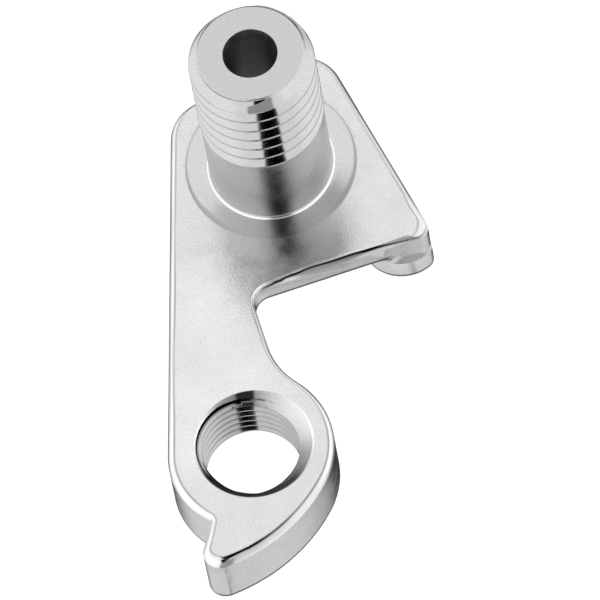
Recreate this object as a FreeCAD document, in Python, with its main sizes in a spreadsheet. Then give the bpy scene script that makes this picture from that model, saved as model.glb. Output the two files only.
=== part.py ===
"""Bicycle derailleur hanger: a thin seat plate, a hollow threaded stud, a thick threaded eye and a stop tooth.

Frame in millimetres: the origin is on the stud axis in the plate's front face, +Z runs along the stud,
the eye lies towards -Y and the slanted edge towards +X.
"""

import FreeCAD, Part
import math
import os
import Sketcher

os.makedirs("parts", exist_ok=True)
doc = FreeCAD.newDocument("derailleur_hanger")

SIZES = {
    # thicknesses and edges
    "eye_thickness": 6.5,
    "plate_thickness": 2.65,
    "front_round": 0.5,
    "back_chamfer": 0.25,
    # plate outline round the stud
    "left_reach": 9.6,
    "top_reach": 9.5,
    "slant_reach": 9.9,
    "top_angle": 28,
    "slant_angle": 62.7,
    "shoulder_radius": 4.3,
    "corner_radius": 1.1,
    # bay between the plate and the eye
    "bay_shift": 0.17,
    "bay_drop": 14.9,
    "bay_radius": 1.7,
    "bay_angle": 18.1,
    "arm_angle": 73.3,
    "neck_radius": 7.2,
    # eye end, measured from the derailleur hole
    "hole_shift": 1.9,
    "hole_drop": 30,
    "hole_radius": 4.55,
    "sink_shift": 0.45,
    "sink_radius": 5.55,
    "sink_depth": 1.6,
    "eye_shift": 0.6,
    "eye_drop": 0.38,
    "eye_radius": 8.6,
    "belly_radius": 17.2,
    "lobe_drop": 0.75,
    "lobe_radius": 8,
    "notch_radius": 0.4,
    "tooth_shift": 2.65,
    "tooth_drop": 11.05,
    "tooth_radius": 1.65,
    "tooth_angle": 76,
    # stud
    "stud_radius": 5.95,
    "stud_height": 21,
    "stud_chamfer": 1,
    "stud_root": 0.2,
    "bore_radius": 2.55,
    "spot_radius": 8.2,
    "spot_depth": 0.15,
    # relief and lug on the back
    "relief_right": 3,
    "relief_radius": 16.8,
    "lug_inset": 1.78,
    "lug_setback": 3.47,
    "lug_radius": 3.88,
    "lug_root": 1,
    "lug_step": 3.8,
}

sheet = doc.addObject("Spreadsheet::Sheet", "Sizes")
for row, (alias, value) in enumerate(SIZES.items(), 1):
    sheet.set(f"A{row}", alias)
    sheet.set(f"B{row}", str(value))
    sheet.setAlias(f"B{row}", alias)
doc.recompute()

body = doc.addObject("PartDesign::Body", "hanger")
body.Label = "hanger"
floor_plane = next(f for f in body.Origin.OriginFeatures if f.Role == "XY_Plane")


def expr(text):
    """Every word of the text that is a size becomes a reference to its cell."""
    return " ".join("Sizes." + word if word in SIZES else word for word in text.split())


def value(text):
    """Starting value of a sum of sizes and numbers."""
    total, sign = 0, 1
    for word in text.split():
        if word in ("+", "-"):
            sign = 1 if word == "+" else -1
        else:
            total += sign * float(SIZES.get(word, word))
    return total


def new_sketch(name, lift=None):
    """A sketch parallel to the front face, raised along Z by the lift."""
    sketch = body.newObject("Sketcher::SketchObject", name)
    sketch.AttachmentSupport = [(floor_plane, "")]
    sketch.MapMode = "FlatFace"
    if lift:
        sketch.setExpression("AttachmentOffset.Base.z", expr(lift))
    return sketch


def drive(sketch, dimensions):
    """Add dimensions in one go and bind each of them to the sheet."""
    first = sketch.ConstraintCount
    made = []
    for _, text, kind, *ends in dimensions:
        start = value(text)
        made.append(Sketcher.Constraint(kind, *ends, math.radians(start) if kind == "Angle" else start))
    sketch.addConstraint(made)
    for index, (name, text, *_) in enumerate(dimensions, first):
        sketch.renameConstraint(index, name)
        sketch.setExpression("Constraints." + name, expr(text))


def line(start, end):
    return Part.LineSegment(FreeCAD.Vector(*start, 0), FreeCAD.Vector(*end, 0))


def bow(centre, radius, start, end):
    """Arc drawn counterclockwise between two angles in degrees."""
    circle = Part.Circle(FreeCAD.Vector(*centre, 0), FreeCAD.Vector(0, 0, 1), radius)
    return Part.ArcOfCircle(circle, math.radians(start), math.radians(end))


def ring(sketch, radius):
    """A circle in the sketch, round the stud axis until something else places it."""
    made = sketch.addGeometry(Part.Circle(FreeCAD.Vector(0, 0, 0), FreeCAD.Vector(0, 0, 1), value(radius)), False)
    drive(sketch, [(f"radius_{made}", radius, "Radius", made)])
    return made


def rings(name, radii, lift=None):
    """A sketch of circles round the stud axis."""
    sketch = new_sketch(name, lift)
    for radius in radii:
        sketch.addConstraint(Sketcher.Constraint("Coincident", ring(sketch, radius), 3, -1, 1))
    return sketch


def feature(kind, name, sketch, length=None, reverse=False):
    """Pad or pocket of a sketch; without a length the pocket goes through everything."""
    made = body.newObject("PartDesign::" + kind, name)
    made.Profile = sketch
    made.Reversed = reverse
    if length is None:
        made.Type = "ThroughAll"
    else:
        made.setExpression("Length", expr(length))
    sketch.Visibility = False
    doc.recompute()
    return made


def edges_where(test):
    """Names of the tip's edges for which the test holds."""
    return [f"Edge{i}" for i, edge in enumerate(body.Tip.Shape.Edges, 1) if test(edge)]


def dress(kind, name, length, test):
    """Round or chamfer the tip's edges for which the test holds."""
    names = edges_where(test)
    base = body.Tip
    made = body.newObject("PartDesign::" + kind, name)
    made.Base = (base, names)
    made.setExpression("Radius" if kind == "Fillet" else "Size", expr(length))
    doc.recompute()
    return made


def level(edge, height):
    """The whole edge lies at this height."""
    box = edge.BoundBox
    return abs(box.ZMin - height) < 1e-4 and abs(box.ZMax - height) < 1e-4


def arc_at(edge, radius, height):
    """A circular edge of this radius at this height."""
    return level(edge, height) and hasattr(edge.Curve, "Radius") and abs(edge.Curve.Radius - SIZES[radius]) < 1e-4


def rim(edge, radius, height):
    """A full circle of this radius at this height."""
    return edge.Closed and arc_at(edge, radius, height)


# outline of the whole part, drawn close to its final place and then held by its constraints
outline = new_sketch("outline")
LEFT, LOBE, NOTCH, TOOTH, TIP, BELLY, EYE, NECK, ARM, BAY, SEAT, CORNER, SLANT, RIGHT, TOP, SHOULDER = range(16)
outline.addGeometry(
    [
        line((-9.6, 3.07), (-9.6, -30.75)),
        bow((-1.6, -30.75), 8, 180, 239.3),
        bow((-5.89, -37.97), 0.4, -14, 59.3),
        line((-6.15, -40.65), (-5.51, -38.07)),
        bow((-4.55, -41.05), 1.65, 166, 291.3),
        bow((-10.21, -26.57), 17.2, -68.7, -26.3),
        bow((-2.5, -30.38), 8.6, -26.3, 54.4),
        bow((6.7, -17.54), 7.2, 196.7, 234.4),
        line((-1.46, -15.39), (-0.19, -19.61)),
        bow((0.17, -14.9), 1.7, 108.1, 196.7),
        line((-0.36, -13.28), (14.12, -8.55)),
        bow((13.78, -7.51), 1.1, -71.9, 27.3),
        line((6.38, 9.22), (14.75, -7)),
        bow((2.56, 7.25), 4.3, 27.3, 118),
        line((-7.32, 6.87), (0.54, 11.05)),
        bow((-5.3, 3.07), 4.3, 118, 180),
    ],
    False,
)
BACKWARDS = (NOTCH, TOOTH, NECK, ARM, BAY, SLANT, TOP)
joins = []
for piece in range(16):
    after = (piece + 1) % 16
    leaves = 1 if piece in BACKWARDS else 2
    enters = 2 if after in BACKWARDS else 1
    joins.append(Sketcher.Constraint("Tangent", piece, leaves, after, enters))
joins.append(Sketcher.Constraint("Vertical", LEFT))
outline.addConstraint(joins)
drive(
    outline,
    [
        ("left_reach", "left_reach", "DistanceX", LEFT, 1, -1, 1),
        ("top_reach", "top_reach", "Distance", -1, 1, TOP),
        ("slant_reach", "slant_reach", "Distance", -1, 1, SLANT),
        ("tooth_angle", "tooth_angle", "Angle", TOOTH),
        ("arm_angle", "- arm_angle", "Angle", ARM),
        ("bay_angle", "bay_angle", "Angle", SEAT),
        ("slant_angle", "- slant_angle", "Angle", SLANT),
        ("top_angle", "top_angle", "Angle", TOP),
        ("lobe_radius", "lobe_radius", "Radius", LOBE),
        ("notch_radius", "notch_radius", "Radius", NOTCH),
        ("tooth_radius", "tooth_radius", "Radius", TIP),
        ("belly_radius", "belly_radius", "Radius", BELLY),
        ("eye_radius", "eye_radius", "Radius", EYE),
        ("neck_radius", "neck_radius", "Radius", NECK),
        ("bay_radius", "bay_radius", "Radius", BAY),
        ("corner_radius", "corner_radius", "Radius", CORNER),
        ("right_shoulder", "shoulder_radius", "Radius", RIGHT),
        ("left_shoulder", "shoulder_radius", "Radius", SHOULDER),
        ("tooth_shift", "hole_shift + tooth_shift", "DistanceX", TIP, 3, -1, 1),
        ("tooth_drop", "hole_drop + tooth_drop", "DistanceY", TIP, 3, -1, 1),
        ("eye_shift", "hole_shift + eye_shift", "DistanceX", EYE, 3, -1, 1),
        ("eye_drop", "hole_drop + eye_drop", "DistanceY", EYE, 3, -1, 1),
        ("lobe_drop", "hole_drop + lobe_drop", "DistanceY", LOBE, 3, -1, 1),
        ("bay_shift", "bay_shift", "DistanceX", -1, 1, BAY, 3),
        ("bay_drop", "bay_drop", "DistanceY", BAY, 3, -1, 1),
    ],
)
doc.recompute()

feature("Pad", "blank", outline, "eye_thickness", True)
dress("Fillet", "front_rounding", "front_round", lambda e: level(e, 0))


def centre_on_lug(sketch, piece):
    """Set the centre of a circle or arc off the slanted edge and off the bay's wall."""
    walls = ((SLANT, "lug_inset"), (SEAT, "lug_setback"))
    for index, (wall, _) in enumerate(walls):
        sketch.addExternal(outline.Name, f"Edge{wall + 1}")
    drive(sketch, [(size, size, "Distance", piece, 3, -3 - index) for index, (_, size) in enumerate(walls)])


# relief cut into the back, which leaves the lug and the thick eye
relief = new_sketch("relief", "- eye_thickness")
relief_ring = ring(relief, "relief_radius")
relief.addConstraint(Sketcher.Constraint("PointOnObject", relief_ring, 3, -1))
drive(relief, [("relief_right", "relief_right", "DistanceX", -1, 1, relief_ring, 3)])
centre_on_lug(relief, ring(relief, "lug_radius"))
feature("Pocket", "relief_cut", relief, "eye_thickness - plate_thickness", True)
dress("Fillet", "lug_rounding", "lug_root", lambda e: arc_at(e, "lug_radius", -SIZES["plate_thickness"]))

# foot of the lug, a round boss cut off along the slanted edge and a little proud of the plate's wall
foot = new_sketch("foot", "- lug_step")
SIDE, LOW, CHORD = range(3)
foot.addGeometry(
    [
        bow((12, -5.6), 3.9, 90, 313),
        bow((13.9, -7.7), 1.1, -47, 27),
        line((14.8, -7.2), (12, -1.8)),
    ],
    False,
)
foot.addConstraint(
    [
        Sketcher.Constraint("Tangent", SIDE, 2, LOW, 1),
        Sketcher.Constraint("Tangent", LOW, 2, CHORD, 1),
        Sketcher.Constraint("Coincident", CHORD, 2, SIDE, 1),
    ]
)
drive(
    foot,
    [
        ("side_radius", "lug_radius", "Radius", SIDE),
        ("low_radius", "corner_radius", "Radius", LOW),
        ("chord_angle", "180 - slant_angle", "Angle", CHORD),
        ("chord_reach", "slant_reach", "Distance", -1, 1, CHORD),
    ],
)
centre_on_lug(foot, SIDE)
doc.recompute()
feature("Pad", "lug_foot", foot, "eye_thickness - lug_step", True)

# spot face, stud and its hollow
spot = rings("spot", ["spot_radius", "stud_radius"])
feature("Pocket", "spot_face", spot, "spot_depth")
shank = rings("shank", ["stud_radius"])
feature("Pad", "stud", shank, "stud_height")
dress("Chamfer", "stud_point", "stud_chamfer", lambda e: rim(e, "stud_radius", SIZES["stud_height"]))
dress("Fillet", "stud_foot", "stud_root", lambda e: rim(e, "stud_radius", -SIZES["spot_depth"]))
hollow = rings("hollow", ["bore_radius"], "stud_height")
feature("Pocket", "bore", hollow)

# derailleur hole, at the size the thread's crests leave
eye_hole = new_sketch("eye_hole")
hole_ring = ring(eye_hole, "hole_radius")
drive(
    eye_hole,
    [
        ("hole_shift", "hole_shift", "DistanceX", hole_ring, 3, -1, 1),
        ("hole_drop", "hole_drop", "DistanceY", hole_ring, 3, -1, 1),
    ],
)
doc.recompute()
feature("Pocket", "derailleur_hole", eye_hole)

# countersink of the hole's front mouth, which stands a little off the thread's axis
sink = body.newObject("PartDesign::SubtractiveCone", "countersink")
sink.AttachmentSupport = [(floor_plane, "")]
sink.MapMode = "FlatFace"
for name, text in (
    ("AttachmentOffset.Base.x", "sink_shift - hole_shift"),
    ("AttachmentOffset.Base.y", "- hole_drop"),
    ("AttachmentOffset.Base.z", "- sink_depth"),
    ("Radius1", "sink_radius - sink_depth"),
    ("Radius2", "sink_radius"),
    ("Height", "sink_depth"),
):
    sink.setExpression(name, expr(text))
doc.recompute()

# edges of the back, apart from the bore's mouth and the foot of the relief's step
dress("Chamfer", "eye_back", "back_chamfer", lambda e: level(e, -SIZES["eye_thickness"]))


def plate_edge(edge):
    """An outer edge of the thin plate's back."""
    inner = arc_at(edge, "relief_radius", -SIZES["plate_thickness"]) or edge.Closed
    near_lug = hasattr(edge.Curve, "Radius") and abs(edge.Curve.Radius - SIZES["lug_radius"] - SIZES["lug_root"]) < 1e-4
    return level(edge, -SIZES["plate_thickness"]) and not inner and not near_lug


dress("Chamfer", "plate_back", "back_chamfer", plate_edge)

for made in doc.Objects:
    if "Invalid" in made.State or "Error" in made.State:
        raise RuntimeError(f"{made.Name} did not compute")
    shape = getattr(made, "Shape", None)
    if made.isDerivedFrom("Part::Feature") and (shape.isNull() or not shape.isValid()):
        raise RuntimeError(f"{made.Name} has no valid shape")
if len(body.Shape.Solids) != 1:
    raise RuntimeError("the hanger is not one solid")
body.Shape.exportStep(f"parts/{body.Label}.step")
print("volume", round(body.Shape.Volume, 1), "mm3, box", body.Shape.BoundBox)
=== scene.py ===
import math

import bmesh
import bpy
import numpy as np
from mathutils import Matrix, Vector
from mathutils.geometry import delaunay_2d_cdt


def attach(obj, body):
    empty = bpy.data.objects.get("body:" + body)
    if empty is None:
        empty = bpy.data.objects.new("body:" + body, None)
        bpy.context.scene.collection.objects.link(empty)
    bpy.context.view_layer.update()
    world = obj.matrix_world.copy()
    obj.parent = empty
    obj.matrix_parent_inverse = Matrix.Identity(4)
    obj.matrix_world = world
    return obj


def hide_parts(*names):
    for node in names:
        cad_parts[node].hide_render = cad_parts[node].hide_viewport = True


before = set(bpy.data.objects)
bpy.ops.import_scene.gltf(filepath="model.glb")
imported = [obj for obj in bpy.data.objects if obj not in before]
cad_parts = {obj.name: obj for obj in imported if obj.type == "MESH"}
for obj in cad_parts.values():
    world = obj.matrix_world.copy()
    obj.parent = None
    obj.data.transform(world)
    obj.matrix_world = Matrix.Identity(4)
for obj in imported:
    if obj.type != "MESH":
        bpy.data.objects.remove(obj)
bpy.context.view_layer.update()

MM = 0.001

# sizes in millimetres, as in the CAD part
EYE_THICKNESS = 6.5
PLATE_THICKNESS = 2.65
FRONT_ROUND = 0.5
BACK_CHAMFER = 0.25
HOLE_X, HOLE_Y = -1.9, -30.0
HOLE_RADIUS = 4.55
HOLE_PITCH = 1.0
SINK_X = -1.45
SINK_RADIUS = 5.55
STUD_RADIUS = 5.95
SHANK_RADIUS = 5.85
STUD_HEIGHT = 21.0
STUD_PITCH = 1.75
STUD_CHAMFER = 1.0
THREAD_END = 9.5
THREAD_RUNOUT = 0.3
BORE_RADIUS = 2.55
SPOT_RADIUS = 8.2
SPOT_DEPTH = 0.15
CORNER = (13.78, -7.51)
CORNER_RADIUS = 1.1
LUG_X, LUG_Y = 12.02, -5.59
LUG_RADIUS = 3.88
LUG_STEP = 3.8
RELIEF_X = 3.0
RELIEF_RADIUS = 16.75
# threads: depth as a share of the pitch, and the height of a crest in stud and hole
DEPTH_PER_PITCH = 0.515
THREAD_PHASE = 18.79
HOLE_PHASE = -0.24
# the flat sides that meet in the right corner: which way they face, in degrees
BAY_FACES = -71.9
SLANT_FACES = 27.3

# how the mesh is made and shaded; a painted shade of 1 is black, and below 0 it is a painted highlight
COLUMNS = 256
NEAR = 0.02
SHARP_DEGREES = 32
SINK_LOWEST = -2.0
SINK_LIP = 0.05
RIM_WIDTH = 0.1
LONG_EDGE = 1.0
SHORT_STEP = 0.5
# painted shade lines: how far up the walls they reach and how dark they are, then the lug ledge's painted
# highlight
LINE_RISES = (0.2, 0.4)
LINE_DARK = 0.85
LEDGE_SHADE = -0.1
# where round the shank its painted reflection streak runs, and how wide it is, in degrees
PAINTED_STREAK_TURN = -80.3
PAINTED_STREAK_WIDTH = 10.0

PLATE, EDGE, SPOT, BEAD, SHANK, THREAD, END, BORE, HOLE, SINK = range(10)

# front and sides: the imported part's own walls and back, kept below the rounded front edge
bm = bmesh.new()
bm.from_mesh(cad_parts["hanger"].data)
bmesh.ops.scale(bm, vec=(1 / MM, 1 / MM, 1 / MM), verts=bm.verts)
bmesh.ops.remove_doubles(bm, verts=bm.verts, dist=0.002)
# painted shade and highlight on each vertex, which the materials multiply into their grey
shade = bm.verts.layers.float.new("shade")


def near_bore(v):
    return math.hypot(v.co.x, v.co.y) < BORE_RADIUS + NEAR


def near_hole(v):
    in_hole = math.hypot(v.co.x - HOLE_X, v.co.y - HOLE_Y) < HOLE_RADIUS + BACK_CHAMFER + NEAR
    in_sink = math.hypot(v.co.x - SINK_X, v.co.y - HOLE_Y) < SINK_RADIUS + NEAR
    return in_hole or in_sink and v.co.z > SINK_LOWEST


gone = []
for face in bm.faces:
    heights = [v.co.z for v in face.verts]
    above = min(heights) > -FRONT_ROUND - 0.01
    bore = all(near_bore(v) for v in face.verts) and max(heights) - min(heights) > 0.01
    hole = all(near_hole(v) for v in face.verts) and max(heights) - min(heights) > 0.01
    if above or bore or hole:
        gone.append(face)
bmesh.ops.delete(bm, geom=gone, context="FACES")
bmesh.ops.delete(bm, geom=[v for v in bm.verts if not v.link_faces], context="VERTS")

# lines along the walls, a little above their lower edges, where the painted shade along those edges fades
for thickness in (EYE_THICKNESS, PLATE_THICKNESS):
    for rise in LINE_RISES:
        cut = (0, 0, BACK_CHAMFER + rise - thickness)
        whole = [*bm.verts, *bm.edges, *bm.faces]
        bmesh.ops.bisect_plane(bm, geom=whole, plane_co=cut, plane_no=(0, 0, 1))


def open_loops():
    """The mesh's open edges as closed rows of vertices, always in the same order."""
    edges = dict.fromkeys(e for e in bm.edges if e.is_boundary)
    rows = []
    while edges:
        edge = next(iter(edges))
        del edges[edge]
        row = [edge.verts[0], edge.verts[1]]
        while row[-1] != row[0]:
            follow = next(e for e in row[-1].link_edges if e in edges)
            del edges[follow]
            row.append(follow.other_vert(row[-1]))
        rows.append(row[:-1])
    return rows


def on_outline(row):
    return all(abs(v.co.z + FRONT_ROUND) < 0.05 for v in row)


# short steps along the straight edges, so that the rounding can change along them
outer_edges = [e for e in bm.edges if e.is_boundary and on_outline(e.verts)]
for edge in outer_edges:
    if edge.calc_length() > LONG_EDGE:
        bmesh.ops.subdivide_edges(bm, edges=[edge], cuts=int(edge.calc_length() / SHORT_STEP))
outline = next(row for row in open_loops() if on_outline(row))
points = np.array([[v.co.x, v.co.y] for v in outline])
following = np.roll(points, -1, 0)
if np.sum(points[:, 0] * following[:, 1] - points[:, 1] * following[:, 0]) < 0:
    outline.reverse()
    points = points[::-1]
count = len(outline)
ahead = np.roll(points, -1, 0) - points
ahead /= np.linalg.norm(ahead, axis=1)[:, None]
outward = np.column_stack([ahead[:, 1], -ahead[:, 0]])
normals = outward + np.roll(outward, 1, 0)
normals /= np.linalg.norm(normals, axis=1)[:, None]

# at places along the edge, in millimetres inwards: the width of its rounding, then where its outer
# and inner painted dark lines run, each with how dark it is, and last how bright the painted highlight
# between them is
EDGE_LOOKS = [
    ((-9.4, 3.6), 0.5, 0.1, 0.9, 0.58, 0.3, 0.2),
    ((-9.6, 0), 0.5, 0.1, 0.95, 0.58, 0.4, 0.4),
    ((-9.6, -14), 0.55, 0.1, 0.95, 0.62, 0.5, 0.4),
    ((-9.6, -30), 0.65, 0.08, 1.0, 0.66, 0.5, 0.4),
    ((-7.5, -36), 0.65, 0.0, 0.0, 0.66, 0.5, 0.35),
    ((-5.6, -37.8), 0.5, 0.0, 0.0, 0.55, 0.35, 0.3),
    ((-5.9, -39.8), 0.6, 0.1, 0.4, 0.7, 0.35, 0.3),
    ((-5, -42.6), 0.95, 0.05, 0.1, 1.1, 0.5, 0.3),
    ((-3.5, -42.5), 0.8, 0.0, 0.0, 0.68, 1.4, -0.3),
    ((-1, -41.3), 0.7, 0.0, 0.0, 0.63, 1.3, -0.25),
    ((1, -39.9), 0.65, 0.0, 0.0, 0.6, 0.9, -0.2),
    ((4, -37), 0.6, 0.0, 0.0, 0.6, 0.65, -0.05),
    ((6.1, -30), 0.5, 0.05, 0.95, 0.55, 0.5, 0.4),
    ((3, -24), 0.4, 0.2, 1.0, 0.45, 0.2, 0.3),
    ((0.5, -21), 0.35, 0.12, 0.6, 0.4, 0.3, 0.2),
    ((-0.8, -17.5), 0.35, 0.05, 0.4, 0.4, 0.4, 0.2),
    ((-1.1, -13.9), 0.3, 0.0, 0.2, 0.4, 0.1, 0.2),
    ((-0.3, -13.2), 0.35, 0.08, 0.9, 0.45, 0.0, 0.0),
    ((0.6, -13), 0.42, 0.17, 1.3, 0.52, -0.1, 0.0),
    ((2, -12.5), 0.5, 0.3, 1.3, 0.6, -0.5, 0.0),
    ((4, -11.8), 0.58, 0.42, 1.3, 0.7, -0.6, -0.1),
    ((7.7, -10.6), 0.55, 0.38, 1.2, 0.66, -0.5, -0.3),
    ((9.6, -10), 0.45, 0.28, 1.1, 0.55, -0.1, -0.3),
    ((12, -9.2), 0.45, 0.35, 1.0, 0.6, 0.0, -0.2),
    ((14.5, -6.5), 0.5, 0.1, 0.6, 1.0, 0.5, 0.0),
    ((12.5, -3), 0.5, 0.12, 1.0, 0.55, 0.4, 0.0),
    ((11, 0), 0.5, 0.12, 1.0, 0.5, 0.3, 0.0),
    ((6, 9.5), 0.45, 0.12, 1.0, 0.5, 0.15, -0.4),
    ((-7, 7.5), 0.45, 0.1, 1.0, 0.45, 0.0, -1.0),
]
SMOOTHINGS = 12
places = np.array([look[0] for look in EDGE_LOOKS])
looks = np.array([look[1:] for look in EDGE_LOOKS])
# each point of the edge takes most from the places nearest to it
away = np.linalg.norm(points[:, None] - places[None], axis=2)
share = 1 / (away + 0.3) ** 3
inset, outer_at, outer, inner_line_at, inner_line_shade, painted_highlight = (share @ looks / share.sum(1)[:, None]).T
for _ in range(SMOOTHINGS):
    inset = (np.roll(inset, 1) + 2 * inset + np.roll(inset, -1)) / 4
inner = points - normals * inset[:, None]


# the flat face's right corner is rounder than the outline's
def facing(turn):
    return np.array([math.cos(math.radians(turn)), math.sin(math.radians(turn))])


INNER_RADIUS = 1.5
INNER_SPAN = 4.5
corner = np.array(CORNER)
corner_inset = np.array([0.55, 0.95])
sides = np.array([facing(BAY_FACES), facing(SLANT_FACES)])
reach = sides @ corner + CORNER_RADIUS
inner_centre = np.linalg.solve(sides, reach - INNER_RADIUS - corner_inset)
for i, p in enumerate(points):
    off_centre = p - corner
    turn = math.degrees(math.atan2(off_centre[1], off_centre[0]))
    if np.linalg.norm(off_centre) < CORNER_RADIUS + NEAR and BAY_FACES - 0.3 < turn < SLANT_FACES + 0.3:
        inner[i] = inner_centre + INNER_RADIUS * facing(turn)
        continue
    for side, normal in enumerate(sides):
        along = np.array([-normal[1], normal[0]]) * (1 if side else -1)
        run = off_centre @ along
        if abs(p @ normal - reach[side]) < 0.03 and 0 <= run < INNER_SPAN:
            start = (inner_centre - corner) @ along
            near = run / INNER_SPAN
            width = corner_inset[side] * (1 - near) + inset[i] * near
            moved = start + (INNER_SPAN - start) * near
            inner[i] = corner + along * moved + normal * (CORNER_RADIUS - width)

# rounded strip between the walls and the flat front, and a narrow rim of that front
STEPS = 18
FLAT_STEPS, FLAT_STEP = 3, 0.06
BEND_AT, BEND = 0.66, 2.2
LINE_WIDTH = 0.08
toward = inner - points
span = np.linalg.norm(toward, axis=1)
toward /= span[:, None]


def edge_shade(i, run):
    """How much painted shade the edge gets at a distance inwards from its outline, and below 0 a painted
    highlight.
    """
    lines = outer[i] * math.exp(-(((run - outer_at[i]) / LINE_WIDTH) ** 2))
    inner_line_width = LINE_WIDTH * (1 + 0.5 * abs(inner_line_shade[i]))
    lines += inner_line_shade[i] * math.exp(-(((run - inner_line_at[i]) / inner_line_width) ** 2))
    return lines - painted_highlight[i] * max(0.0, 1 - ((run / inset[i] - 0.5) / 0.5) ** 2)


rows = [outline]
for i, v in enumerate(outline):
    v[shade] = edge_shade(i, 0)
for k in range(1, STEPS + FLAT_STEPS + 1):
    t = min(k / STEPS, 1)
    start, middle, end = (1 - t) ** 2, 2 * BEND * t * (1 - t), t**2
    part = (middle * BEND_AT + end) / (start + middle + end)
    height = -FRONT_ROUND * start / (start + middle + end)
    row = []
    for i, (x, y) in enumerate(points):
        run = span[i] * part + max(0, k - STEPS) * FLAT_STEP
        v = bm.verts.new((x + toward[i, 0] * run, y + toward[i, 1] * run, height))
        v[shade] = edge_shade(i, run) if k < STEPS + FLAT_STEPS else 0.0
        row.append(v)
    rows.append(row)
for k, (low, high) in enumerate(zip(rows, rows[1:])):
    for i in range(count):
        j = (i + 1) % count
        face = bm.faces.new((low[i], low[j], high[j], high[i]))
        face.material_index = EDGE if k < STEPS else PLATE


def circle(radius, height):
    """A ring of vertices round the stud's axis."""
    made = []
    for k in range(COLUMNS):
        a = 2 * math.pi * k / COLUMNS
        made.append(bm.verts.new((radius * math.cos(a), radius * math.sin(a), height)))
    return made


def sink_reach(angle, z, extra=0.0):
    """Distance from the hole's axis to the countersink's cone, which stands off that axis."""
    radius = SINK_RADIUS + z + extra
    shift = (HOLE_X - SINK_X) * math.cos(angle)
    return -shift + math.sqrt(shift**2 - (HOLE_X - SINK_X) ** 2 + radius**2)


def sink_ring(z, extra=0.0):
    """A ring of vertices on the countersink's cone."""
    made = []
    for k in range(COLUMNS):
        a = 2 * math.pi * k / COLUMNS
        r = sink_reach(a, z, extra)
        made.append(bm.verts.new((HOLE_X + r * math.cos(a), HOLE_Y + r * math.sin(a), z)))
    return made


def skin(low, high, material, flip=False):
    """Faces between two rings of as many vertices."""
    for i in range(len(low)):
        j = (i + 1) % len(low)
        corners = (low[i], low[j], high[j], high[i])
        face = bm.faces.new(corners[::-1] if flip else corners)
        face.material_index = material


# flat front, between the rounding, the spot face and the hole
spot_edge = circle(SPOT_RADIUS, 0)
hole_edge = sink_ring(0.0, SINK_LIP)
spot_rim = circle(SPOT_RADIUS + RIM_WIDTH, 0)
hole_rim = sink_ring(0.0, SINK_LIP + RIM_WIDTH)
skin(spot_rim, spot_edge, PLATE)
skin(hole_rim, hole_edge, PLATE)
flat = rows[-1] + spot_rim + hole_rim
edges, first = [], 0
for size in (len(rows[-1]), len(spot_rim), len(hole_rim)):
    edges += [(first + k, first + (k + 1) % size) for k in range(size)]
    first += size
spots, _, triangles, origins, *_ = delaunay_2d_cdt([Vector(v.co[:2]) for v in flat], edges, [], 1, 1e-7)
for triangle in triangles:
    centre = sum((spots[k] for k in triangle), Vector((0, 0))) / 3
    in_spot = centre.length < SPOT_RADIUS + 0.9 * RIM_WIDTH
    in_sink = (centre - Vector((SINK_X, HOLE_Y))).length < SINK_RADIUS + SINK_LIP + 0.95 * RIM_WIDTH
    if in_spot or in_sink:
        continue
    corners = [flat[origins[k][0]] for k in triangle]
    if len(set(corners)) < 3:
        continue
    face = bm.faces.new(corners)
    face.normal_update()
    if face.normal.z < 0:
        face.normal_flip()


# rows of the mesh over one pitch of a thread, as shares of the pitch from the crest
CREST_HALF, FLANK_FOOT, CREST_DROP = 0.085, 0.383, 0.035
FRACTIONS = [0, 0.05, CREST_HALF, 0.1, 0.19, 0.29, FLANK_FOOT, 0.42]
FRACTIONS = sorted(FRACTIONS + [0.5] + [1 - f for f in FRACTIONS[1:]])


def soft_thread(f):
    """Share of the thread's depth over one pitch, 0 on the crest and 1 in the root."""
    f = min(f % 1.0, 1 - f % 1.0)
    if f <= CREST_HALF:
        return CREST_DROP * (f / CREST_HALF) ** 2
    if f >= FLANK_FOOT:
        return 1.0
    return CREST_DROP + (1 - CREST_DROP) * (f - CREST_HALF) / (FLANK_FOOT - CREST_HALF)


def helix(radius_at, low, high, phase, pitch, flats, x=0.0, y=0.0):
    """A grid of vertices whose rows follow a thread, cut off flat at both heights."""
    first = math.floor((low - phase) / pitch) - 2
    last = math.ceil((high - phase) / pitch) + 1
    columns = []
    for k in range(COLUMNS + 1):
        part = k / COLUMNS
        heights = [phase + pitch * (n + f + part) for n in range(first, last) for f in FRACTIONS]
        heights = sorted([min(max(z, low), high) for z in heights] + flats)
        a = 2 * math.pi * part
        column = []
        for z in heights:
            r = radius_at(z, (z - phase) / pitch - part, a)
            column.append((x + r * math.cos(a), y + r * math.sin(a), z))
        columns.append(column)
    return columns


def add_grid(columns, material, flip):
    """Vertices and faces of a grid, without the faces that have no height."""
    made = [[bm.verts.new(p) for p in column] for column in columns]
    for left, right in zip(made, made[1:]):
        for k in range(len(left) - 1):
            corners = [left[k], right[k], right[k + 1], left[k + 1]]
            if len({round(c.co.z, 6) for c in corners}) > 1:
                face = bm.faces.new(corners[::-1] if flip else corners)
                face.material_index = material
    return made


def stack(ring, profile):
    """Rings one after the other, each joined to the one before by faces of its material."""
    rings = [ring]
    for radius, height, material in profile:
        rings.append(circle(radius, height))
        skin(rings[-2], rings[-1], material)
    return rings[1:]


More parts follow.
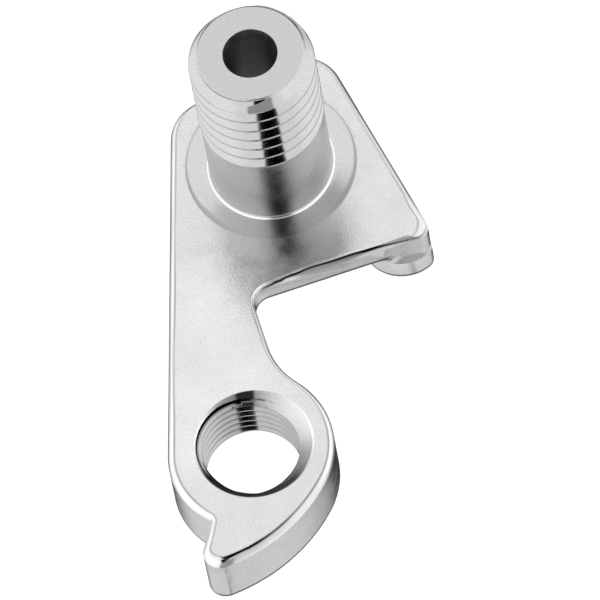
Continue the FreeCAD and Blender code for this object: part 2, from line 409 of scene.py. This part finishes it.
# spot face, root and plain shank: radius, height and material
PROFILE = [
    (SPOT_RADIUS - 0.06, -0.015, SPOT),
    (SPOT_RADIUS - 0.15, -0.06, SPOT),
    (SPOT_RADIUS - 0.25, -0.1, SPOT),
    (SPOT_RADIUS - 0.4, -0.13, SPOT),
    (SPOT_RADIUS - 0.65, -SPOT_DEPTH, SPOT),
    (6.6, -SPOT_DEPTH, SPOT),
    (6.2, -SPOT_DEPTH, SPOT),
    (6.12, -0.14, SPOT),
    (6.1, -0.11, BEAD),
    (6.05, -0.06, BEAD),
    (5.99, -0.02, BEAD),
    (5.93, 0.0, SHANK),
    (5.88, 0.03, SHANK),
    (SHANK_RADIUS, 0.08, SHANK),
    (SHANK_RADIUS, 0.5, SHANK),
    (SHANK_RADIUS, 1.0, SHANK),
    (SHANK_RADIUS, THREAD_END - THREAD_RUNOUT, SHANK),
    (SHANK_RADIUS, THREAD_END, SHANK),
]
for ring in stack(spot_edge, PROFILE):
    height = ring[0].co.z
    if height < 0.05:
        continue
    # a soft dark streak up the shank, a painted reflection
    for v in ring:
        off = math.degrees(math.atan2(v.co.y, v.co.x)) - PAINTED_STREAK_TURN
        v[shade] = (0.85 - 0.4 * height / THREAD_END) * math.exp(-((off / PAINTED_STREAK_WIDTH) ** 2))


def stud_radius(z, turns, angle):
    depth = DEPTH_PER_PITCH * STUD_PITCH
    r = STUD_RADIUS - depth * soft_thread(turns)
    if z > STUD_HEIGHT - STUD_CHAMFER:
        r = min(r, STUD_RADIUS + STUD_HEIGHT - STUD_CHAMFER - z)
    if z < THREAD_END + THREAD_RUNOUT:
        part = max(0.0, (z - THREAD_END) / THREAD_RUNOUT)
        r = max(r, SHANK_RADIUS * (1 - part) + (STUD_RADIUS - depth) * part)
    return r


TOP_EDGE = 0.08
BORE_STOP = 0.05
top = STUD_HEIGHT - TOP_EDGE
flats = [THREAD_END, top] + [STUD_HEIGHT - drop for drop in (STUD_CHAMFER, 0.9, 0.7, 0.5)]
columns = helix(stud_radius, THREAD_END, top, THREAD_PHASE, STUD_PITCH, flats)
# painted shade: a dark line on the far side of the stud, on its top crests and the upper end of its chamfer
for column in add_grid(columns, THREAD, False):
    for v in column:
        crest = math.hypot(v.co.x, v.co.y) > STUD_RADIUS - 0.2 and v.co.z > STUD_HEIGHT - 2.3
        if v.co.y > 0 and (crest or v.co.z > STUD_HEIGHT - 0.3):
            v[shade] = LINE_DARK * min(1.0, 2 * v.co.y / STUD_RADIUS)

# end of the stud, down into the bore: radius, height and material
face_radius = STUD_RADIUS - STUD_CHAMFER
END_PROFILE = [
    (face_radius + 0.04, STUD_HEIGHT - 0.03, THREAD),
    (face_radius - 0.03, STUD_HEIGHT, END),
    (4.3, STUD_HEIGHT, END),
    (3.4, STUD_HEIGHT, END),
    (BORE_RADIUS + 0.12, STUD_HEIGHT, END),
    (BORE_RADIUS + 0.04, STUD_HEIGHT - 0.03, END),
    (BORE_RADIUS, STUD_HEIGHT - 0.12, BORE),
    (BORE_RADIUS, STUD_HEIGHT - 2.0, BORE),
    (BORE_RADIUS, STUD_HEIGHT - 8.0, BORE),
    (BORE_RADIUS, BORE_STOP - PLATE_THICKNESS, BORE),
]
stack(circle(face_radius + TOP_EDGE, top), END_PROFILE)


def hole_radius(z, turns, angle):
    r = HOLE_RADIUS + DEPTH_PER_PITCH * HOLE_PITCH * soft_thread(turns)
    if z > SINK_LOWEST:
        r = max(r, sink_reach(angle, z))
    mouth = BACK_CHAMFER - EYE_THICKNESS - z
    if mouth >= 0:
        r = max(HOLE_RADIUS + mouth, min(r, HOLE_RADIUS + BACK_CHAMFER))
    return r


HOLE_STOP = 0.04
low, high = HOLE_STOP - EYE_THICKNESS, -HOLE_STOP
flats = [low, high, BACK_CHAMFER - EYE_THICKNESS]
columns = helix(hole_radius, low, high, HOLE_PHASE, HOLE_PITCH, flats, HOLE_X, HOLE_Y)
# in degrees round the hole from +X: the painted shade on the countersink and the painted shade on the
# thread, which below 0 is a painted highlight
HOLE_LOOKS = [
    (-180, -0.25, 0.3),
    (-155, 0.3, 0.4),
    (-140, 0.95, 0.5),
    (-70, 0.95, 0.5),
    (-42, 0.85, 0.5),
    (-20, 0.0, 0.5),
    (10, -0.5, 0.5),
    (50, -0.1, 0.45),
    (84, 0.35, 0.3),
    (87, 0.95, 0.3),
    (103, 0.95, 0.45),
    (106, 0.6, 0.45),
    (125, 0.5, 0.42),
    (150, -0.2, 0.36),
    (180, -0.25, 0.3),
]
turns, cone_dark, thread_dark = zip(*HOLE_LOOKS)
# painted shade: the thread's roots are darker, and on the left so is the line where the countersink ends
ROOT_DARK, ROOT_FROM = 0.9, 0.45
MOUTH_DARK, MOUTH_UP_TO = 0.6, 0.35


def on_cone(x, y, z):
    """Whether a place, measured from the hole's axis, lies on the countersink's cone."""
    beyond = math.hypot(x, y) - sink_reach(math.atan2(y, x), z) if z > SINK_LOWEST else 1.0
    return -0.005 < beyond < 0.06


hole_verts = [v for column in add_grid(columns, HOLE, True) for v in column]
cone_top = sink_ring(high)
skin(cone_top, hole_edge, SINK, True)
for v in hole_verts + cone_top + hole_edge:
    x, y = v.co.x - HOLE_X, v.co.y - HOLE_Y
    turn = math.degrees(math.atan2(y, x))
    deep = (math.hypot(x, y) - HOLE_RADIUS) / (DEPTH_PER_PITCH * HOLE_PITCH)
    if not on_cone(x, y, v.co.z):
        root_dark = ROOT_DARK if abs(turn) > 100 else 0.5 * ROOT_DARK
        root_dark *= max(0, deep - ROOT_FROM) / (1 - ROOT_FROM)
        v[shade] = np.interp(turn, turns, thread_dark) + root_dark
        continue
    at_mouth = deep < MOUTH_UP_TO and abs(turn) > 110
    v[shade] = np.interp(turn, turns, cone_dark) + (MOUTH_DARK if at_mouth else 0)
    for face in v.link_faces:
        if face.material_index == HOLE:
            face.material_index = SINK

bmesh.ops.remove_doubles(bm, verts=bm.verts, dist=0.0004)


def open_at(radius, height, x=0.0, y=0.0):
    """Open edges on a circle at this height."""
    found = []
    for e in bm.edges:
        off = max(abs(math.hypot(v.co.x - x, v.co.y - y) - radius) for v in e.verts)
        rise = max(abs(v.co.z - height) for v in e.verts)
        if e.is_boundary and off < 0.06 and rise < 0.01:
            found.append(e)
    return found


def join_back(radius, stop, thickness, *place):
    """Faces for the last step from an opening's wall to the back's own edge round it."""
    wall = open_at(radius, stop - thickness, *place)
    back = open_at(radius, -thickness, *place)
    bmesh.ops.bridge_loops(bm, edges=wall + back)


join_back(BORE_RADIUS, BORE_STOP, PLATE_THICKNESS)
join_back(HOLE_RADIUS + BACK_CHAMFER, HOLE_STOP, EYE_THICKNESS, HOLE_X, HOLE_Y)


def apart(point, x, y):
    return math.hypot(point.x - x, point.y - y)


# the lug's narrow ledge before the plate's wall, in countersink metal with a faint painted highlight
for face in bm.faces:
    at_lug = apart(face.calc_center_median(), LUG_X, LUG_Y) < LUG_RADIUS
    if at_lug and all(abs(v.co.z + LUG_STEP) < NEAR for v in face.verts):
        face.material_index = SINK
        for v in face.verts:
            v[shade] = LEDGE_SHADE

# painted shade: darker lines along the lower edges of the walls, but not inside the openings or up on the
# lug
for v in bm.verts:
    in_hole = apart(v.co, HOLE_X, HOLE_Y) < HOLE_RADIUS + 0.65
    in_bore = apart(v.co, 0, 0) < BORE_RADIUS + 0.45
    on_lug = apart(v.co, LUG_X, LUG_Y) < LUG_RADIUS + 0.1 and v.co.z > -LUG_STEP - 0.2
    if in_hole or in_bore or on_lug:
        continue
    in_relief = v.co.z > -3 and apart(v.co, RELIEF_X, 0) < RELIEF_RADIUS
    thickness = PLATE_THICKNESS if in_relief else EYE_THICKNESS
    if v.co.z + thickness - BACK_CHAMFER < LINE_RISES[0] + 0.05:
        v[shade] = LINE_DARK
for e in bm.edges:
    e.smooth = len(e.link_faces) == 2 and e.calc_face_angle() < math.radians(SHARP_DEGREES)
bmesh.ops.scale(bm, vec=(MM, MM, MM), verts=bm.verts)
mesh = bpy.data.meshes.new("hanger_metal")
bm.to_mesh(mesh)
bm.free()
for polygon in mesh.polygons:
    polygon.use_smooth = True
hanger = bpy.data.objects.new("hanger_metal", mesh)
bpy.context.scene.collection.objects.link(hanger)



# nodes that the materials and the light share
def calc(tree, kind, *values, clamp=False):
    """A sum of numbers and other nodes' values."""
    node = tree.nodes.new("ShaderNodeMath")
    node.operation = kind
    node.use_clamp = clamp
    for k, v in enumerate(values):
        if isinstance(v, (int, float)):
            node.inputs[k].default_value = v
        else:
            tree.links.new(v, node.inputs[k])
    return node.outputs[0]


def spread(tree, value, low, high, to_low, to_high, soft=False):
    """A value between low and high moved to another range."""
    node = tree.nodes.new("ShaderNodeMapRange")
    if soft:
        node.interpolation_type = "SMOOTHSTEP"
    ends = {"From Min": low, "From Max": high, "To Min": to_low, "To Max": to_high}
    for name, number in ends.items():
        node.inputs[name].default_value = number
    tree.links.new(value, node.inputs["Value"])
    return node.outputs["Result"]


def noise(tree, place, scale, detail, roughness=0.5):
    """Noise that is fixed to the piece."""
    node = tree.nodes.new("ShaderNodeTexNoise")
    for name, number in {"Scale": scale, "Detail": detail, "Roughness": roughness}.items():
        node.inputs[name].default_value = number
    tree.links.new(place, node.inputs["Vector"])
    return node.outputs["Fac"]


def tone_of(tree, place, base, grain, cloud, painted_reflections):
    """The metal's grey, darker or brighter by the mesh's painted shade and highlight, fine grain, clouds
    and soft painted reflections.
    """
    painted_shade_node = tree.nodes.new("ShaderNodeAttribute")
    painted_shade_node.attribute_name = "shade"
    tone = calc(tree, "MULTIPLY_ADD", painted_shade_node.outputs["Fac"], -base, base, clamp=True)
    for scale, strength in ((5000.0, grain), (260.0, cloud)):
        if strength:
            blotches = noise(tree, place, scale, 4.0, 0.65)
            blotches = spread(tree, blotches, 0.3, 0.7, 1 - strength, 1 + strength)
            tone = calc(tree, "MULTIPLY", tone, blotches)
    for x, y, radius, strength in painted_reflections:
        node = tree.nodes.new("ShaderNodeVectorMath")
        node.operation = "DISTANCE"
        node.inputs[1].default_value = (x * MM, y * MM, 0)
        tree.links.new(place, node.inputs[0])
        reflection_patch = spread(tree, node.outputs["Value"], 0.0, radius * MM, 1 - strength, 1.0, soft=True)
        tone = calc(tree, "MULTIPLY", tone, reflection_patch)
    return tone


def turned_rings(tree, place, scale):
    """Height of fine rings round the stud's axis."""
    split = tree.nodes.new("ShaderNodeSeparateXYZ")
    tree.links.new(place, split.inputs["Vector"])
    level = tree.nodes.new("ShaderNodeCombineXYZ")
    tree.links.new(split.outputs["X"], level.inputs["X"])
    tree.links.new(split.outputs["Y"], level.inputs["Y"])
    length = tree.nodes.new("ShaderNodeVectorMath")
    length.operation = "LENGTH"
    tree.links.new(level.outputs["Vector"], length.inputs[0])
    node = tree.nodes.new("ShaderNodeTexNoise")
    node.noise_dimensions = "1D"
    node.inputs["Scale"].default_value = scale
    node.inputs["Detail"].default_value = 3.0
    tree.links.new(length.outputs["Value"], node.inputs["W"])
    return node.outputs["Fac"]


def metal(name, base, roughness, mottle=0.0, mottle_scale=900.0, bump=0.0, bump_scale=0.0, rings=0.0,
          grain=0.05, cloud=0.0, painted_reflections=()):
    """Bare grey metal. Its bump is fine pits, or rings where their scale is given."""
    made = bpy.data.materials.new(name)
    made.use_nodes = True
    tree = made.node_tree
    shader = tree.nodes["Principled BSDF"]
    shader.inputs["Metallic"].default_value = 1.0
    shader.inputs["Base Color"].default_value = (base, base, base, 1)
    shader.inputs["Roughness"].default_value = roughness
    place = tree.nodes.new("ShaderNodeTexCoord").outputs["Object"]
    tree.links.new(tone_of(tree, place, base, grain, cloud, painted_reflections), shader.inputs["Base Color"])
    if mottle:
        uneven = noise(tree, place, mottle_scale, 5.0, 0.6)
        ends = roughness * (1 - mottle), roughness * (1 + mottle)
        tree.links.new(spread(tree, uneven, 0.3, 0.7, *ends), shader.inputs["Roughness"])
    if bump:
        height = turned_rings(tree, place, rings) if rings else noise(tree, place, bump_scale, 4.0)
        node = tree.nodes.new("ShaderNodeBump")
        node.inputs["Strength"].default_value = 1.0
        node.inputs["Distance"].default_value = bump
        tree.links.new(height, node.inputs["Height"])
        tree.links.new(node.outputs["Normal"], shader.inputs["Normal"])
    return made


# soft painted reflections on the plate, which isn't quite flat: x, y and radius in millimetres, and how
# dark
PLATE_PAINTED_REFLECTIONS = (
    (4.4, -9.2, 5.0, 0.3),
    (2.4, -9.8, 2.0, 0.3),
    (-1.8, -10.5, 3.5, -0.12),
    (-5.2, -14.6, 7.0, -0.15),
    (-4.0, -26.0, 12.0, -0.12),
    (-8.0, -31.0, 5.0, -0.08),
)
# soft painted reflections on the spot face: x, y and radius in millimetres, and how dark
SPOT_PAINTED_REFLECTIONS = (
    (6.2, -4.2, 4.5, 0.25),
    (3.5, -7.2, 2.5, 0.2),
)
# in the order of the mesh's material numbers
MATERIALS = (
    metal("satin_plate", 0.6, 0.2, 0.35, 700.0, bump=0.009 * MM, bump_scale=4500.0, grain=0.1, cloud=0.05,
          painted_reflections=PLATE_PAINTED_REFLECTIONS),
    metal("smooth_edge", 0.61, 0.1),
    metal("turned_spot", 0.55, 0.19, 0.2, 700.0, bump=0.002 * MM, rings=4000.0, grain=0.08,
          painted_reflections=SPOT_PAINTED_REFLECTIONS),
    # the bead's bright grey is a painted highlight round the shank's foot
    metal("bead_painted_highlight", 0.85, 0.14),
    metal("plain_shank", 0.53, 0.27, 0.2, 700.0),
    metal("bright_thread", 0.49, 0.09, 0.2, 900.0, grain=0.08),
    metal("turned_end", 0.485, 0.2, 0.2, 900.0, bump=0.003 * MM, rings=3500.0, grain=0.1),
    # the bore's dark grey is painted shade inside the bore
    metal("bore_painted_shade", 0.38, 0.4, 0.2, 900.0),
    metal("hole_thread", 0.62, 0.12, 0.2, 900.0),
    metal("countersink", 0.62, 0.45),
)
for made in MATERIALS:
    mesh.materials.append(made)
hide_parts("hanger")
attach(hanger, "root")

# white floor, just below the part
FLOOR_HALF = 2.0
FLOOR_GAP = 0.01
floor_mesh = bpy.data.meshes.new("floor")
ends = [(x * FLOOR_HALF, y * FLOOR_HALF, 0) for x, y in ((-1, -1), (1, -1), (1, 1), (-1, 1))]
floor_mesh.from_pydata(ends, [], [(0, 1, 2, 3)])
floor = bpy.data.objects.new("floor", floor_mesh)
floor.location.z = -(EYE_THICKNESS + FLOOR_GAP) * MM
bpy.context.scene.collection.objects.link(floor)
pale = bpy.data.materials.new("pale_floor")
pale.use_nodes = True
shader = pale.node_tree.nodes["Principled BSDF"]
shader.inputs["Base Color"].default_value = (0.2, 0.2, 0.2, 1)
shader.inputs["Roughness"].default_value = 1.0
shader.inputs["Specular IOR Level"].default_value = 0.0
shader.inputs["Emission Color"].default_value = (1, 1, 1, 1)
shader.inputs["Emission Strength"].default_value = 1.0
floor_mesh.materials.append(pale)
floor.visible_glossy = False

# where the camera stands, in degrees round the part and up, and how it is rolled
CAMERA_TURN, CAMERA_RISE, CAMERA_ROLL = 9.733, 61.224, -10.852

# studio light: a bright room with a tall dark panel at the camera, drawn by direction in degrees
world = bpy.data.worlds.new("studio")
bpy.context.scene.world = world
world.use_nodes = True
sky = world.node_tree
background = sky.nodes["Background"]
facing_out = sky.nodes.new("ShaderNodeTexCoord").outputs["Generated"]


def along(vector):
    """Part of the direction along a fixed vector."""
    node = sky.nodes.new("ShaderNodeVectorMath")
    node.operation = "DOT_PRODUCT"
    node.inputs[1].default_value = vector
    sky.links.new(facing_out, node.inputs[0])
    return node.outputs["Value"]


def step(value, low, high):
    """0 below low and 1 above high."""
    return spread(sky, value, low, high, 0.0, 1.0, soft=True)


def band(value, low, high, soft):
    """1 between low and high, with soft ends."""
    return calc(sky, "SUBTRACT", step(value, low - soft, low + soft), step(value, high - soft, high + soft))


def degrees(kind, *values):
    return calc(sky, "MULTIPLY", calc(sky, kind, *values), 180 / math.pi)


def spot_away(turn, low, high):
    """1 round a direction opposite in height to the camera, 0 beyond high degrees from it."""
    turn, down = math.radians(turn), math.radians(CAMERA_RISE)
    centre = (math.sin(turn) * math.cos(down), -math.cos(turn) * math.cos(down), -math.sin(down))
    return calc(sky, "SUBTRACT", 1.0, step(degrees("ARCCOSINE", along(centre)), low, high))


def darken(level, area, share):
    """The level with this share of it taken away in an area."""
    return calc(sky, "MULTIPLY", level, calc(sky, "SUBTRACT", 1.0, calc(sky, "MULTIPLY", area, share)))


turn = math.radians(CAMERA_TURN)
height = along((0, 0, 1))
aside = degrees("ARCSINE", along((math.cos(turn), math.sin(turn), 0)))
rise = degrees("ARCTAN2", height, along((math.sin(turn), -math.cos(turn), 0)))
# the panel at the lens, the stand below it, the backdrop's foot and a narrow strip on the floor
lens_panel = calc(sky, "MULTIPLY", band(aside, -10.3, 10.3, 0.8), band(rise, 42, 84, 2.0))
stand = calc(sky, "MULTIPLY", band(aside, -17, 17, 1.0), band(rise, 8, 42, 4.0))
backdrop = spot_away(CAMERA_TURN - 15 + 180, 13, 42)
strip = spot_away(CAMERA_TURN + 12, 2, 6)
upper = step(height, -0.3, 0.2)
wings = calc(sky, "MULTIPLY", step(calc(sky, "ABSOLUTE", aside), 22, 40), upper)
level = calc(sky, "ADD", 0.92, calc(sky, "MULTIPLY", 0.33, upper))
level = calc(sky, "ADD", level, calc(sky, "MULTIPLY", 0.2, wings))
for area, share in ((strip, 0.6), (lens_panel, 1.0), (stand, 0.6), (backdrop, 0.95)):
    level = darken(level, area, share)
sky.links.new(level, background.inputs["Strength"])
background.inputs["Color"].default_value = (1, 1, 1, 1)

# camera
DISTANCE, FOCAL_PX, FRAME_PX, SENSOR = 1.2, 12767.8, 600, 36
AZIMUTH, ELEVATION, ROLL = (math.radians(v) for v in (CAMERA_TURN, CAMERA_RISE, CAMERA_ROLL))
target = Vector((0.002821, -0.014942, 0))
back = Vector((
    math.sin(AZIMUTH) * math.cos(ELEVATION),
    -math.cos(AZIMUTH) * math.cos(ELEVATION),
    math.sin(ELEVATION),
))
right = Vector((math.cos(AZIMUTH), math.sin(AZIMUTH), 0))
up = back.cross(right)
c, s = math.cos(ROLL), math.sin(ROLL)
right, up = right * c + up * s, up * c - right * s
camera = bpy.data.objects.new("camera", bpy.data.cameras.new("camera"))
bpy.context.scene.collection.objects.link(camera)
turned = Matrix((right, up, back)).transposed().to_4x4()
turned.translation = target + back * DISTANCE
camera.matrix_world = turned
camera.data.sensor_width = SENSOR
camera.data.lens = FOCAL_PX / FRAME_PX * SENSOR
camera.data.clip_start, camera.data.clip_end = 0.1, 10
scene = bpy.context.scene
scene.camera = camera
scene.view_settings.view_transform = "Standard"
scene.view_settings.look = "None"
